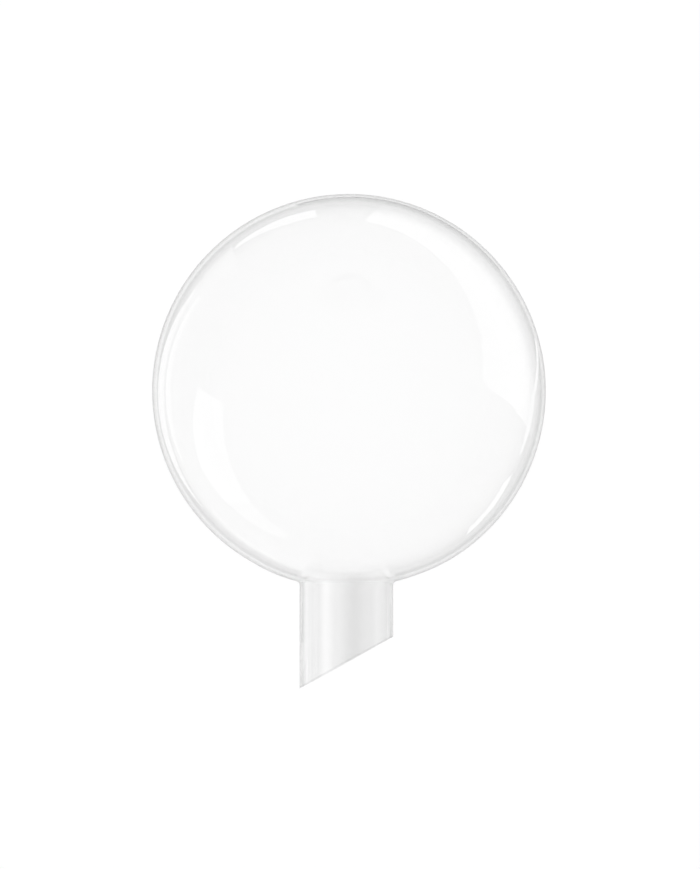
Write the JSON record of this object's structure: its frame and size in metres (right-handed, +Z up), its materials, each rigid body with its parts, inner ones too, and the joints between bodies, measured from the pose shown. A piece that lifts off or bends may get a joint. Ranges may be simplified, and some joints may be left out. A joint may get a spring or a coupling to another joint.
{
  "type": "bubble balloon",
  "caption": "Clear film bubble balloon lying on its side: a hollow see-through globe with a wide, straight neck sleeve, open and cut off at a slant.",
  "frame": {"origin": "middle of the small flat that the globe rests on, straight under the globe's centre", "axes": "+Z up out of the rest flat, -Y along the neck from the globe to the open end, and the neck's long side is towards -X"},
  "size_m": [0.4498, 0.565, 0.4472],
  "materials": {
    "clear_film": "clear, glossy thermoplastic film, see-through, faintly milky at the neck"
  },
  "bodies": {
    "root": {"bubble_film": "clear_film"}
  },
  "joints": []
}
